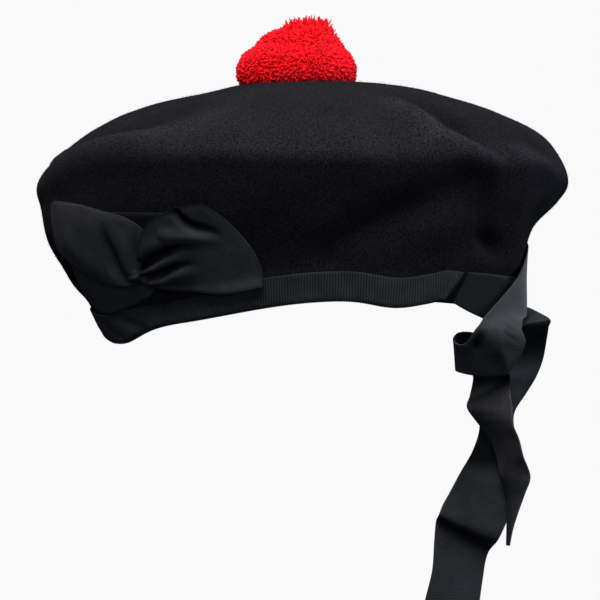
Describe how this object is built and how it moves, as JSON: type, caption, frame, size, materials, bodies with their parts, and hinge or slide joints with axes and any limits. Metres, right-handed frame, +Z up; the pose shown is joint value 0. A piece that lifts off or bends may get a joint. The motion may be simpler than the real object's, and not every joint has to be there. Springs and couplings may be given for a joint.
{
  "type": "balmoral bonnet",
  "caption": "Soft round felt bonnet, open below, with a ribbon-bound rim, a wool pompom on top, a ribbon cockade on the left and ribbon tails half knotted behind.",
  "frame": {"origin": "middle of the head opening, at the mean height of its rim, where the bonnet sits on a head", "axes": "+Z up, the wearer faces -X, the wearer's left is -Y"},
  "size_m": [0.2621, 0.247, 0.304],
  "materials": {
    "felt": "black wool felt with a short nap",
    "ribbon": "black ribbed ribbon, dull",
    "wool": "scarlet cut wool pile"
  },
  "bodies": {
    "root": {"crown": "felt", "band": "ribbon", "toorie": "wool", "cockade_back": "ribbon", "cockade_lower": "ribbon", "cockade_left": "ribbon", "cockade_right": "ribbon", "tail_over": "ribbon", "tail_under": "ribbon"}
  },
  "joints": []
}
